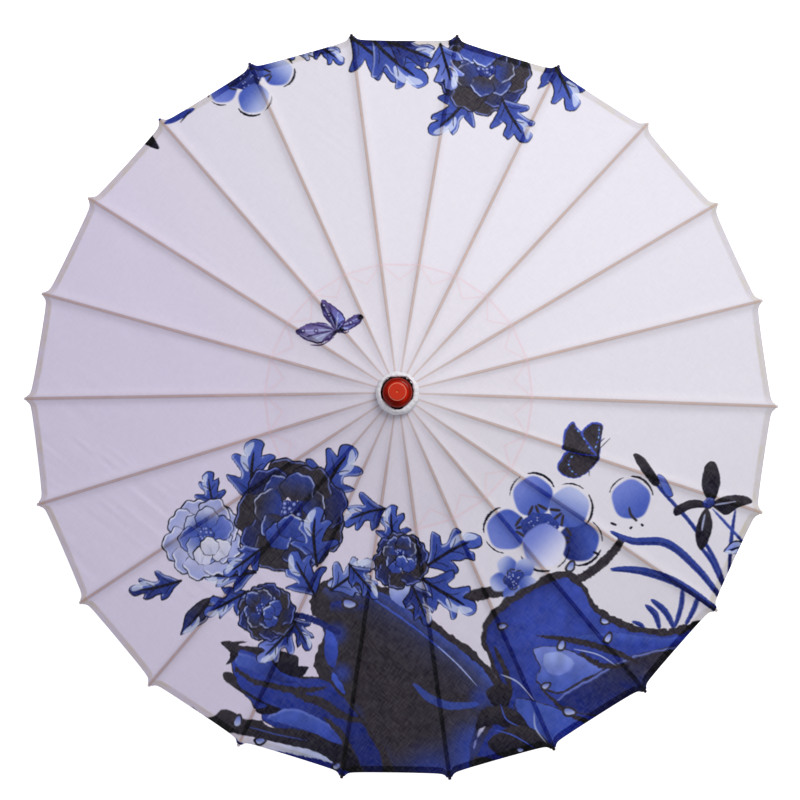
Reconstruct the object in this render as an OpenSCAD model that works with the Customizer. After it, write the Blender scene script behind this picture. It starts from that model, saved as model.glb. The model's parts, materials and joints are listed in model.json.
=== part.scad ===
// Open craft umbrella: a cloth canopy glued over split-bamboo ribs, on a straight wooden shaft.
// The origin is the centre of the grip, +Z runs up the shaft to the finial cap,
// and rib_01 points along +X. Lengths are in millimetres, angles in degrees.

/* [Overall] */
// Distance across opposite rib tips with the umbrella open
span = 820; // [780:5:850]
// Number of ribs, and of the stretchers that hold them up
rib_count = 22; // [16:1:22]
// Angle between an open rib and straight down
open_angle = 70; // [67:1:72]
// Height of the rib hinges above the centre of the grip
hinge_z = 470; // [455:1:490]
// Radius of both hinge circles, on the hub and on the runner
hinge_r = 14.5; // [14.5:0.1:15]
// Rib hinge to stretcher hinge, which is also the stretcher's own length
link_len = 134; // [125:1:140]

/* [Ribs] */
// Width of a rib along its outer part
rib_w = 4.8; // [4:0.1:4.8]
// Width of a rib at its hinge eye
rib_eye_w = 2.4; // [2:0.1:2.4]
// Depth of a rib from the cloth side to the underside
rib_depth = 4.5; // [4.2:0.1:4.6]
// Depth of a rib at its tip
rib_tip_depth = 3.2; // [2.5:0.1:4]
// Width of the slot in a rib that its stretcher folds into
rib_slot_w = 2.6; // [2.4:0.1:2.8]

/* [Stretchers] */
// Thickness of a stretcher
stretcher_t = 2.2; // [1.8:0.1:2.2]
// Depth of a stretcher
stretcher_depth = 4.2; // [3.6:0.1:4.2]

/* [Hub and runner] */
// Outer radius of the slotted heads of the hub and the runner
head_r = 17.5; // [17:0.1:18]
// Width of each slot in the two heads
head_slot_w = 2.8; // [2.7:0.1:3]
// Radius of the wood left at the bottom of the slots
head_core_r = 11.4; // [10.5:0.1:11.5]
// Radius of the runner's sleeve, which the folding stretchers pass outside
sleeve_r = 10.4; // [9:0.1:11]
// Radius of the top hinge wire
wire_r = 0.6; // [0.5:0.05:0.6]
// Radius of the runner's hinge thread
thread_r = 0.45; // [0.3:0.05:0.5]

/* [Canopy] */
// Thickness of the cloth with its lining and glue
cloth_t = 0.4; // [0.3:0.1:0.6]
// Length of each rib tip that shows past the cloth
tip_show = 4.5; // [3:0.5:6]
// How far the rim is drawn in midway between two ribs
scallop = 3.3; // [1:0.1:5]
// Outer radius of the collar that covers the cloth's inner edge
collar_r = 22; // [21:0.5:25]

/* [Finial] */
// Radius of the cap's lower disc
cap_r = 15.4; // [13:0.1:16.5]
// Radius of the cap's upper disc
cap_step_r = 9.6; // [8:0.1:11]
// Height of the cap
cap_h = 16; // [14:0.5:18]

/* [Shaft and grip] */
// Radius of the shaft
shaft_r = 6.5; // [6:0.1:6.8]
// Radius of the grip
grip_r = 11; // [10:0.5:14]
// Length of the grip
grip_len = 110; // [100:1:130]

/* [Hidden] */
$fn = 64;
// Angle from one rib to the next, and half of it
rib_step = 360 / rib_count;
half_step = rib_step / 2;
// Straight length of a rib from its hinge to its tip
rib_len = (span / 2 - hinge_r) / sin(open_angle);
// Stretcher hinge on the open rib, and the hinge circle of the raised runner
pivot_r = hinge_r + link_len * sin(open_angle);
pivot_z = hinge_z - link_len * cos(open_angle);
runner_z = hinge_z - 2 * link_len * cos(open_angle);
// Play around a hinge pin, the hinge wire and the hinge thread, beside cloth,
// and of the sliding runner
pin_play = 0.08;
wire_play = 0.15;
hinge_thread_play = 0.2;
cloth_gap = 0.3;
runner_play = 0.1;
// Hinge pin that joins a stretcher to its rib
pin_r = 0.7;
pin_fit = 0.02;
// Rib: eye length, where it reaches full width, where its underside starts to rise
rib_eye_len = 12;
rib_full_s = 110;
rib_rise_s = 200;
rib_nub_len = 6;
rib_nub_w = 3.4;
// Reach of the rib's slot inward and outward of the stretcher hinge
slot_in = 12;
slot_out = 58;
// Hub: wood below and above the hinge circle, and the top of its slots
hub_below = 9;
hub_above = 9;
hub_slot_above = rib_depth / 2 + 0.5;
hub_edge = 1.5;
// Runner: head height each side of the hinge circle, sleeve length, bottom flange
runner_head = 8;
runner_drop = 46;
flange_h = 5;
flange_r = 13;
runner_edge = 1.2;
// Square hinge groove inside the heads
groove_play = 0.06;
// Shaft: its ends, and the slot for the spring catch
shaft_bottom = -40;
shaft_in_cap = 5;
hub_top = hinge_z + hub_above;
// Spring catch: its nose stands just under the raised runner
catch_t = 2.2;
catch_slot_w = catch_t + 0.6;
catch_top = runner_z - runner_drop - 0.5;
catch_len = 40;
catch_nose = 3.5;
catch_nose_h = 1.5;
catch_belly = 4.4;
catch_belly_below = 16;
catch_back = 1.3;
catch_top_back = 2.4;
catch_eye_r = 2.2;
catch_pin_r = 0.8;
catch_slot_back = 3.4;
catch_slot_end = 3;
// Cap: rounding of its two discs, and the dimple in its top
cap_edge = 5;
cap_step_edge = 2;
dimple_r = 2;
// Grip: rounded ends
grip_end = 10;
grip_foot_r = 7;
grip_neck_r = 8.2;
grip_arc_steps = 8;
// Canopy: radius of its inner edge, points across a panel, rings from centre to rim
canopy_in_r = head_r + 0.7;
canopy_out_r = span / 2 - tip_show;
panel_steps = 6;
canopy_rings = 3;
collar_t = 1;
// Threads: radius, how far the lattice dips inward, and its clearance beside a rib
lattice_r = 0.4;
lattice_in = 20;
lattice_drop = 2;
thread_side = rib_w / 2 + cloth_gap + lattice_r;
rim_thread_r = 0.5;
rim_thread_in = 6;
// Clearance that makes cutting solids run past the surface that they cut
over = 1;

function pad2(i) = i < 10 ? str("0", i) : str(i);
function names(stem) = [for (i = [1:rib_count]) str(stem, "_", pad2(i))];
// Height of the cone that lies gap above the tops of the open ribs
function cloth_z(r, gap) =
    hinge_z + (rib_depth / 2 + gap) / sin(open_angle) - (r - hinge_r) / tan(open_angle);
// Angle from the middle of the panel that holds azimuth a
function from_mid(a) = (a - rib_step * floor(a / rib_step)) - half_step;
// Height of the flat panels, which touch that cone only along the ribs
function panel_z(r, a, gap) = cloth_z(r * cos(from_mid(a)) / cos(half_step), gap);
// Radius of the drawn-in rim at azimuth a
function rim_r(a) =
    let (d = from_mid(a) / half_step)
    (canopy_out_r * cos(half_step) - scallop * (1 - d * d)) / cos(from_mid(a));

// A round rod from point p to point q
module rod(p, q, r) {
    v = q - p;
    translate(p)
        rotate([0, acos(v.z / norm(v)), atan2(v.y, v.x)])
            cylinder(r = r, h = norm(v), $fn = 24);
}

// A closed ring of round section, for the hinge wire and the hinge thread
module ring(ring_r, section_r, z) {
    translate([0, 0, z])
        rotate_extrude()
            translate([ring_r, 0])
                circle(r = section_r, $fn = 24);
}

// Radial slots cut into a head from its core outward, between two heights
module head_slots(z_low, z_high) {
    for (i = [0:rib_count - 1])
        rotate([0, 0, i * rib_step])
            translate([head_core_r, -head_slot_w / 2, z_low])
                cube([head_r - head_core_r + over, head_slot_w, z_high - z_low]);
}

// Square tunnel through the teeth of a head, which the hinge wire or thread lies in
module hinge_groove(section_r, z) {
    side = 2 * (section_r + groove_play);
    translate([0, 0, z])
        rotate_extrude()
            translate([hinge_r, 0])
                square(side, center = true);
}

module shaft() {
    foot = catch_top - catch_len;
    color("Peru")
        difference() {
            translate([0, 0, shaft_bottom])
                cylinder(r = shaft_r, h = hub_top + shaft_in_cap - shaft_bottom);
            // Slot for the spring catch, open on the +X side
            translate([-catch_slot_back, -catch_slot_w / 2, foot - catch_slot_end])
                cube([catch_slot_back + shaft_r + over, catch_slot_w, catch_len + 2 * catch_slot_end]);
            translate([0, 0, foot])
                rotate([90, 0, 0])
                    cylinder(r = catch_pin_r, h = 2 * shaft_r + over, center = true, $fn = 24);
        }
}

module top_hub() {
    low = hinge_z - hub_below;
    color([0.08, 0.08, 0.09])
        difference() {
            rotate_extrude()
                polygon([
                    [shaft_r, low],
                    [head_r - hub_edge, low],
                    [head_r, low + hub_edge],
                    [head_r, hub_top - hub_edge],
                    [head_r - hub_edge, hub_top],
                    [shaft_r, hub_top]
                ]);
            head_slots(low - over, hinge_z + hub_slot_above);
            hinge_groove(wire_r, hinge_z);
        }
}

// Disc whose top edge is rounded over by edge
module rounded_disc(r, h, edge) {
    rotate_extrude()
        union() {
            square([r, h - edge]);
            square([r - edge, h]);
            intersection() {
                translate([r - edge, h - edge]) circle(r = edge);
                square([r, h]);
            }
        }
}

module finial_cap() {
    color([0.77, 0.16, 0.05])
        translate([0, 0, hub_top])
            difference() {
                union() {
                    rounded_disc(cap_r, cap_h / 2, cap_edge);
                    rounded_disc(cap_step_r, cap_h, cap_step_edge);
                }
                translate([0, 0, -over])
                    cylinder(r = shaft_r, h = shaft_in_cap + over);
                translate([0, 0, cap_h + dimple_r / 2])
                    sphere(r = dimple_r);
            }
}

module hub_collar() {
    low = cloth_gap * 2 + cloth_t;
    in_r = head_r + cloth_gap;
    color("White")
        rotate_extrude()
            polygon([
                [in_r, cloth_z(in_r, low)],
                [collar_r, cloth_z(collar_r, low)],
                [collar_r, cloth_z(collar_r, low) + collar_t],
                [in_r + collar_t, hub_top],
                [in_r, hub_top]
            ]);
}

// Thin closed shell: rings of points under the cloth, then the same rings on top of it
module canopy() {
    around = rib_count * panel_steps;
    function az(j) = j * 360 / around;
    function ring_r(k, a) = canopy_in_r + (rim_r(a) - canopy_in_r) * k / (canopy_rings - 1);
    function layer(gap) = [
        for (k = [0:canopy_rings - 1])
            for (j = [0:around - 1])
                let (a = az(j), r = ring_r(k, a))
                [r * cos(a), r * sin(a), panel_z(r, a, gap)]
    ];
    function at(top, k, j) = (top * canopy_rings + k) * around + j % around;
    last = canopy_rings - 1;
    color([0.88, 0.87, 0.93])
        polyhedron(
            points = concat(layer(cloth_gap), layer(cloth_gap + cloth_t)),
            faces = concat(
                [for (k = [0:last - 1]) for (j = [0:around - 1])
                    [at(1, k, j), at(1, k, j + 1), at(1, k + 1, j + 1), at(1, k + 1, j)]],
                [for (k = [0:last - 1]) for (j = [0:around - 1])
                    [at(0, k, j), at(0, k + 1, j), at(0, k + 1, j + 1), at(0, k, j + 1)]],
                [for (j = [0:around - 1])
                    [at(0, last, j), at(1, last, j), at(1, last, j + 1), at(0, last, j + 1)]],
                [for (j = [0:around - 1])
                    [at(0, 0, j), at(0, 0, j + 1), at(1, 0, j + 1), at(1, 0, j)]]
            ),
            convexity = 4
        );
}

// Straight rods from each rib to the next, each ending just beside the rib
module rods_between_ribs(r, z, rod_r) {
    reach = r * sin(half_step) - thread_side / cos(half_step);
    mid = r * cos(half_step);
    for (i = [0:rib_count - 1])
        rotate([0, 0, i * rib_step + half_step])
            rod([mid, -reach, z], [mid, reach, z], rod_r);
}

// Thread in the hem, just under the rim of the cloth
module rim_thread() {
    r = canopy_out_r - rim_thread_in;
    color("Ivory")
        rods_between_ribs(r, cloth_z(r, 0) - rim_thread_r, rim_thread_r);
}

// Coloured thread from rib to rib at the stretcher hinges, with a V inward in each gap
module lattice_thread() {
    mid = pivot_r * cos(half_step);
    reach = pivot_r * sin(half_step) - thread_side / cos(half_step);
    v_z = pivot_z - lattice_drop;
    inner = [mid - lattice_in, 0, v_z - lattice_drop];
    color("HotPink") {
        rods_between_ribs(pivot_r, pivot_z, lattice_r);
        for (i = [0:rib_count - 1])
            rotate([0, 0, i * rib_step + half_step]) {
                rod([mid, -reach, v_z], inner, lattice_r);
                rod([mid, reach, v_z], inner, lattice_r);
                translate(inner)
                    sphere(r = lattice_r, $fn = 24);
            }
    }
}

module top_hinge_wire() {
    color("Goldenrod")
        ring(hinge_r, wire_r, hinge_z);
}

module runner() {
    low = runner_z - runner_drop;
    head_low = runner_z - runner_head;
    head_high = runner_z + runner_head;
    color([0.77, 0.16, 0.05])
        difference() {
            rotate_extrude()
                polygon([
                    [shaft_r + runner_play, low],
                    [flange_r - runner_edge, low],
                    [flange_r, low + runner_edge],
                    [flange_r, low + flange_h - runner_edge],
                    [sleeve_r, low + flange_h],
                    [sleeve_r, head_low - runner_edge],
                    [head_core_r, head_low],
                    [head_r - runner_edge, head_low],
                    [head_r, head_low + runner_edge],
                    [head_r, head_high - runner_edge],
                    [head_r - runner_edge, head_high],
                    [shaft_r + runner_play, head_high]
                ]);
            head_slots(head_low - over, head_high + over);
            hinge_groove(thread_r, runner_z);
        }
}

module runner_hinge_thread() {
    color("HotPink")
        ring(hinge_r, thread_r, runner_z);
}

module spring_catch() {
    foot = catch_top - catch_len;
    tip_x = shaft_r + catch_nose;
    color("Tan")
        difference() {
            translate([0, catch_t / 2, 0])
                rotate([90, 0, 0])
                    linear_extrude(catch_t)
                        union() {
                            translate([0, foot]) circle(r = catch_eye_r);
                            polygon([
                                [-catch_back, foot],
                                [catch_eye_r, foot],
                                [catch_belly, catch_top - catch_belly_below],
                                [tip_x, catch_top - catch_nose_h],
                                [tip_x, catch_top],
                                [catch_top_back, catch_top]
                            ]);
                        }
            translate([0, 0, foot])
                rotate([90, 0, 0])
                    cylinder(r = catch_pin_r + pin_play, h = catch_t + over, center = true, $fn = 24);
        }
}

module catch_pin() {
    color("Goldenrod")
        translate([0, 0, catch_top - catch_len])
            rotate([90, 0, 0])
                cylinder(r = catch_pin_r, h = 2 * shaft_r - over, center = true, $fn = 24);
}

module handle() {
    half = grip_len / 2;
    // Quarter ellipse from the grip's straight side in to radius end_r at height z_end
    function rounded(end_r, side) = [
        for (k = [0:grip_arc_steps])
            let (a = 90 * k / grip_arc_steps)
            [end_r + (grip_r - end_r) * cos(a), side * (half - grip_end + grip_end * sin(a))]
    ];
    foot = rounded(grip_foot_r, -1);
    neck = rounded(grip_neck_r, 1);
    color([0.77, 0.16, 0.05])
        difference() {
            rotate_extrude()
                polygon(concat(
                    [for (k = [grip_arc_steps:-1:0]) foot[k]],
                    neck,
                    [[0, half], [0, -half]]
                ));
            translate([0, 0, shaft_bottom])
                cylinder(r = shaft_r, h = half - shaft_bottom + over);
        }
}

// One rib along +X from its hinge eye at the origin, cloth side up, with its stretcher pin
module rib_blank() {
    half = rib_depth / 2;
    intersection() {
        linear_extrude(rib_depth, center = true)
            polygon([
                [-half, -rib_eye_w / 2],
                [rib_eye_len, -rib_eye_w / 2],
                [rib_full_s, -rib_w / 2],
                [rib_len - rib_nub_len, -rib_w / 2],
                [rib_len, -rib_nub_w / 2],
                [rib_len, rib_nub_w / 2],
                [rib_len - rib_nub_len, rib_w / 2],
                [rib_full_s, rib_w / 2],
                [rib_eye_len, rib_eye_w / 2],
                [-half, rib_eye_w / 2]
            ]);
        translate([0, rib_w / 2 + over, 0])
            rotate([90, 0, 0])
                linear_extrude(rib_w + 2 * over)
                    union() {
                        circle(r = half);
                        polygon([
                            [0, -half],
                            [rib_rise_s, -half],
                            [rib_len, half - rib_tip_depth],
                            [rib_len, half],
                            [0, half]
                        ]);
                    }
    }
}

module rib() {
    color("BurlyWood")
        translate([hinge_r, 0, hinge_z])
            rotate([0, 90 - open_angle, 0]) {
                difference() {
                    rib_blank();
                    rotate([90, 0, 0])
                        cylinder(r = wire_r + wire_play, h = rib_w, center = true, $fn = 24);
                    translate([link_len - slot_in, -rib_slot_w / 2, -rib_depth])
                        cube([slot_in + slot_out, rib_slot_w, 2 * rib_depth]);
                    translate([link_len, 0, 0])
                        rotate([90, 0, 0])
                            cylinder(r = pin_r + pin_fit, h = rib_w + over, center = true, $fn = 24);
                }
                translate([link_len, 0, 0])
                    rotate([90, 0, 0])
                        cylinder(r = pin_r, h = rib_w, center = true, $fn = 24);
            }
}

// One stretcher from the rib's pin in and down to the runner's hinge thread
module stretcher() {
    color("Wheat")
        translate([pivot_r, 0, pivot_z])
            rotate([0, 90 + open_angle, 0])
                translate([0, stretcher_t / 2, 0])
                    rotate([90, 0, 0])
                        linear_extrude(stretcher_t)
                            difference() {
                                union() {
                                    circle(r = stretcher_depth / 2);
                                    translate([link_len, 0]) circle(r = stretcher_depth / 2);
                                    translate([0, -stretcher_depth / 2])
                                        square([link_len, stretcher_depth]);
                                }
                                circle(r = pin_r + pin_play, $fn = 24);
                                translate([link_len, 0])
                                    circle(r = thread_r + hinge_thread_play, $fn = 24);
                            }
}

shaft();
top_hub();
finial_cap();
hub_collar();
canopy();
rim_thread();
lattice_thread();
top_hinge_wire();
runner();
runner_hinge_thread();
spring_catch();
catch_pin();
handle();
for (i = [1:rib_count]) {
    turn = [0, 0, (i - 1) * rib_step];
    rotate(turn) rib();
    rotate(turn) stretcher();
}
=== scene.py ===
import json
from math import atan2, copysign, cos, hypot, pi, radians, sin, sqrt, tan

import bpy
import numpy as np
from mathutils import Matrix, Vector


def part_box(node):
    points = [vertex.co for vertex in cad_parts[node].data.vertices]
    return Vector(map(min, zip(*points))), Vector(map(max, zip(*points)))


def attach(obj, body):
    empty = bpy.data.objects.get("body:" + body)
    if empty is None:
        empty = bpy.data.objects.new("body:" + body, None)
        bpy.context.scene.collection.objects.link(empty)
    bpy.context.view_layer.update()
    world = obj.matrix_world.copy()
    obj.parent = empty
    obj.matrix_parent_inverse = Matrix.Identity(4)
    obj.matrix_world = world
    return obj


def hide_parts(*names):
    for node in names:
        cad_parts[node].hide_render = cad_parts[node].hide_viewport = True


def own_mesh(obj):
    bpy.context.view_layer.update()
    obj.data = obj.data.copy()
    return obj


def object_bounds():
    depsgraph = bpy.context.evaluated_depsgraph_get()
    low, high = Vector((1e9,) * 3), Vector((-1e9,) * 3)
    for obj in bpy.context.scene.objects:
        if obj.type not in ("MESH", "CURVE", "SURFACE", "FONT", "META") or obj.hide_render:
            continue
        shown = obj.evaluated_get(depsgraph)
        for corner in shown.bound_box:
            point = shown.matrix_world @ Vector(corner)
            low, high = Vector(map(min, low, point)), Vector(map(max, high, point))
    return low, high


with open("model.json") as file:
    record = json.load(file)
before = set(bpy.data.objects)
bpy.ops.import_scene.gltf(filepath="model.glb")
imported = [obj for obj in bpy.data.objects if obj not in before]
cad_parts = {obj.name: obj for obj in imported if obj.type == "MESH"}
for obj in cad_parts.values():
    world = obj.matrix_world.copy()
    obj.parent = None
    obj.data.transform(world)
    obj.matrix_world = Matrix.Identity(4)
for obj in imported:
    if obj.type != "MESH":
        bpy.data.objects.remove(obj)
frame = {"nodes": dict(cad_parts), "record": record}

# An open craft umbrella seen almost from straight above. Shapes are worked out in millimetres
# in the row frame, and turned to metres when a mesh is made.
MM = 0.001
CAD_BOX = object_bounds()
NODES = frame["nodes"]
JOINTS = {j["name"]: j for j in frame["record"]["behaviour"]["joints"]}

# ---- sizes, all from the frame
RIBS = sum(name.startswith("rib_") for name in NODES)
STEP = 2 * pi / RIBS
HALF = STEP / 2
HINGE = [v / MM for v in JOINTS["rib_01_hinge"]["pos_m"]]
PIVOT = [v / MM for v in JOINTS["stretcher_01_hinge"]["pos_m"]]
HINGE_R, HINGE_Z = HINGE[0], HINGE[2]
PIVOT_R, PIVOT_Z = PIVOT[0], PIVOT[2]
SLOPE = atan2(HINGE_Z - PIVOT_Z, PIVOT_R - HINGE_R)
RIB_BOX, HUB_BOX, CAP_BOX, COLLAR_BOX, CANOPY_BOX = (
    [[c / MM for c in corner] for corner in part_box(name)]
    for name in ("rib_01", "top_hub", "finial_cap", "hub_collar", "canopy"))
RIB_HALF_W = RIB_BOX[1][1]
RIB_HALF_D = RIB_BOX[1][2] - HINGE_Z
EDGE_R = CANOPY_BOX[1][0]
HUB_R, HUB_TOP = HUB_BOX[1][0], HUB_BOX[1][2]
CAP_R = CAP_BOX[1][0]
COLLAR_R = COLLAR_BOX[1][0]
TIP_S = (RIB_BOX[1][0] - HINGE_R - RIB_HALF_D * sin(SLOPE)) / cos(SLOPE)

CELL = 0.95    # spacing of the cloth's points at the rim
CLOTH_UP = 0.75                       # the cloth's middle above the ribs' tops
IN_R = HUB_R + 0.9                    # inner edge of the cloth
HEM = 7.0                             # width of the folded hem
STRIP_START, STRIP_GROWS = 2.08, 0.00280    # half width of the glued strip, and its gain per mm
LATTICE_DEEP = 19.0                   # how far in the thread's V reaches between two ribs
THREAD_START = 1.6                    # inside the rib's cheek, clear of the stretcher in its slot


def az(i):
    """Azimuth of rib i, counted from 0."""
    return i * STEP


# ---- the camera
CAM_DISTANCE = 2.5
CAM_TILT_BACK = radians(3.9)     # from straight above towards -Y
CAM_TILT_SIDE = radians(1.0)     # from straight above towards +X
CAM_ROLL = radians(0.66)
CAM_FIELD = 0.8715                    # width that the view covers at the rim, in metres
CAM_MIDDLE_Y = 0.0027                 # where the middle of the view lies, in metres
SENSOR = 36
CLIP_END = 20


def make_camera():
    """The photo's view: nearly from straight above."""
    middle = Vector((0, CAM_MIDDLE_Y, CANOPY_BOX[0][2] * MM))
    away = Vector((tan(CAM_TILT_SIDE), -tan(CAM_TILT_BACK), 1)).normalized()
    up = Vector((-sin(CAM_ROLL), cos(CAM_ROLL), 0))
    up = (up - up.dot(away) * away).normalized()
    right = up.cross(away)
    data = bpy.data.cameras.new("camera")
    data.sensor_width = SENSOR
    data.lens = SENSOR * CAM_DISTANCE / CAM_FIELD
    data.clip_end = CLIP_END
    cam = bpy.data.objects.new("camera", data)
    bpy.context.scene.collection.objects.link(cam)
    turn = Matrix((right, up, away)).transposed().to_4x4()
    cam.matrix_world = Matrix.Translation(middle + away * CAM_DISTANCE) @ turn
    bpy.context.scene.camera = cam


make_camera()


# ---- small tools
def smooth(v, low, high):
    """0 below low, 1 above high, and an even S between."""
    t = np.clip((v - low) / (high - low), 0, 1)
    return t * t * (3 - 2 * t)


def noise(x, y, seed):
    """Soft noise from -1 to 1 with features about one unit across."""
    table = np.random.default_rng(seed).uniform(-1, 1, (64, 64))
    xi, yi = np.floor(x).astype(int), np.floor(y).astype(int)
    fx, fy = x - xi, y - yi
    fx, fy = fx * fx * (3 - 2 * fx), fy * fy * (3 - 2 * fy)
    def at(a, b):
        return table[(xi + a) % 64, (yi + b) % 64]
    low = at(0, 0) * (1 - fx) + at(1, 0) * fx
    high = at(0, 1) * (1 - fx) + at(1, 1) * fx
    return low * (1 - fy) + high * fy


def turned(x, y, angle):
    """x, y turned about the origin by an angle in radians."""
    c, s = cos(angle), sin(angle)
    return x * c - y * s, x * s + y * c


def grid_faces(rows, cols, first=0, wrap=False):
    """Quads of a grid of points laid row by row."""
    r = np.arange(rows - 1)[:, None]
    c = np.arange(cols if wrap else cols - 1)[None, :]
    a = r * cols + c
    b = r * cols + (c + 1) % cols
    return np.stack([a, b, b + cols, a + cols], -1).reshape(-1, 4) + first


def make_mesh(name, points, faces, colours=None, smooth_shaded=True):
    """A mesh object from points in millimetres and faces of four corners each."""
    mesh = bpy.data.meshes.new(name)
    faces = np.asarray(faces, np.int32)
    mesh.vertices.add(len(points))
    mesh.vertices.foreach_set("co", (np.asarray(points, np.float64)
        * MM).astype(np.float32).ravel())
    mesh.loops.add(faces.size)
    mesh.loops.foreach_set("vertex_index", faces.ravel())
    mesh.polygons.add(len(faces))
    mesh.polygons.foreach_set("loop_start", np.arange(0, faces.size, 4, dtype=np.int32))
    mesh.update(calc_edges=True)
    mesh.polygons.foreach_set("use_smooth", np.full(len(faces), smooth_shaded))
    if colours is not None:
        layer = mesh.color_attributes.new("print", "FLOAT_COLOR", "POINT")
        rgba = np.ones((len(points), 4), np.float32)
        rgba[:, :3] = colours
        layer.data.foreach_set("color", rgba.ravel())
    obj = bpy.data.objects.new(name, mesh)
    bpy.context.scene.collection.objects.link(obj)
    return obj


# ---- the shape of the cloth
# Numbers inside these functions are millimetres and shares, fitted to the photo.
def cone_z(rho):
    """Height of the cloth over a rib at radius rho. Panels are flat along their chords."""
    up = (RIB_HALF_D + CLOTH_UP) / cos(SLOPE)
    return HINGE_Z + up - (rho - HINGE_R) * tan(SLOPE)


def relief(x, y, t, u, rho):
    """What the cloth adds to its flat panels: the ridge on the rib, sag, dips and wrinkles."""
    outer = smooth(rho, 130, 300)
    ridge = -(2.0 + 1.3 * outer) * (1 - np.exp(-((t / (4.3 + 1.9 * outer)) ** 2))) * smooth(rho,
        15, 90)
    sag = -0.8 * (1 - (1 - u) ** 2) * np.clip(rho / EDGE_R, 0, 1)
    loose = 1 - np.exp(-((t / 9) ** 2))
    broad = 0.5 * noise(x / 46, y / 46, 3)
    ax, ay = turned(x, y, radians(38))
    folds = noise(ax / 70, ay / 9.5, 5) * smooth(noise(x / 90, y / 90, 6), -0.2, 0.7)
    bx, by = turned(x, y, radians(-52))
    cross = noise(bx / 60, by / 13, 8) * smooth(noise(x / 110, y / 110, 9), 0.0, 0.8)
    left = 0.5 + 0.8 * smooth(-x, -60, 260)
    short = noise(ax / 34, ay / 5.0, 7) * smooth(noise(x / 70, y / 70, 10), 0.1, 0.7)
    wrinkles = (0.45 * folds + 0.34 * cross + 0.22 * short) * left
    gather = 0.12 * np.sin(t * 1.1) * np.exp(-(rho - IN_R) / 26)
    return ridge + (sag + broad + wrinkles + gather) * loose


def rim_rho(t, u):
    """Chord radius of the rim: drawn in quickly beside a tip, then a shallow curve."""
    t = np.maximum(t - strip_half(EDGE_R), 0)
    return EDGE_R + 2.8 - 3.0 * (1 - np.exp(-t / 1.7)) - 1.0 * (1 - np.exp(-t / 7)) - 0.4 * (1
        - (1 - u) ** 2)


def strip_half(rho):
    """Half width of the strip glued on a rib: what the closed ribs leave room for."""
    return STRIP_START + STRIP_GROWS * (rho - HINGE_R)


def panel_grid(side):
    """Plan points of the half panel on one side of a rib, in the rib's own plan frame."""
    wide = EDGE_R * sin(HALF)
    cols = max(8, round(wide / CELL)) + 1
    rows = max(40, round((EDGE_R - IN_R) / CELL)) + 1
    u = np.linspace(0, 1, cols)[None, :]
    v = np.linspace(0, 1, rows)[:, None]
    rim = rim_rho(strip_half(EDGE_R) * (1 - u) + u * wide, u)
    rho = IN_R + v * (rim - IN_R)
    near = strip_half(rho)
    ax, ay = rho - near * tan(HALF), near
    mx, my = rho * cos(HALF) ** 2, rho * cos(HALF) * sin(HALF)
    px, py = ax + u * (mx - ax), ay + u * (my - ay)
    return px, py * side, rho, np.broadcast_to(u, rho.shape)


def strip_grid():
    """Plan points of the strip over a rib, in the rib's own plan frame."""
    cols = 11
    rows = max(40, round((EDGE_R - IN_R) / CELL)) + 1
    v = np.linspace(0, 1, rows)[:, None]
    rho = IN_R + v * (rim_rho(0, 0) - IN_R) + np.zeros((1, cols))
    y = strip_half(rho) * np.linspace(-1, 1, cols)[None, :]
    return rho - np.abs(y) * tan(HALF), y, rho, np.zeros_like(rho)


# ---- the print
def rgb(*levels):
    """A colour from its levels of 0 to 255."""
    return np.array(levels) / 255


INK, CHARCOAL = rgb(24, 22, 38), rgb(54, 49, 57)
DEEP, BLUE, MID = rgb(34, 44, 112), rgb(50, 68, 152), rgb(72, 94, 186)
PERI, PALE = rgb(118, 134, 214), rgb(184, 194, 234)
BRIGHT, STRONG, ICE = rgb(70, 96, 205), rgb(50, 68, 162), np.array([0.80, 0.84, 0.96])
GLINT, FRONT_RIM = np.array([0.86, 0.89, 0.98]), np.array([0.90, 0.93, 1.0])
# The second cloth colour is the plain cloth with painted shade, laid on towards the lower left,
# away from the light.
CLOTH, CLOTH_SHADED_LEFT = rgb(227, 224, 235), rgb(225, 217, 239)
# The ribs are painted on the cloth as their warm tone and the shade behind them.
RIB_SHOW = 1.32                       # half width of a rib's crest seen through the cloth
THREAD_TINT = rgb(236, 205, 214)


def points_of(line):
    """The points of a line, which may be given as text: x,y x,y and so on."""
    if isinstance(line, str):
        line = [pair.split(",") for pair in line.split()]
    return np.array(line, float)


def curve(points, closed=True, steps=6):
    """A smooth line through the points."""
    p = points_of(points)
    n = len(p)
    out = []
    for i in range(n if closed else n - 1):
        if closed:
            a, b, c, d = p[i - 1], p[i], p[(i + 1) % n], p[(i + 2) % n]
        else:
            a, b, c, d = p[max(i - 1, 0)], p[i], p[i + 1], p[min(i + 2, n - 1)]
        for k in range(steps):
            t = k / steps
            out.append(0.5 * (2 * b + (c - a) * t + (2 * a - 5 * b + 4 * c - d) * t * t
                              + (3 * b - a - 3 * c + d) * t ** 3))
    if not closed:
        out.append(p[-1])
    return np.array(out)


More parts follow.
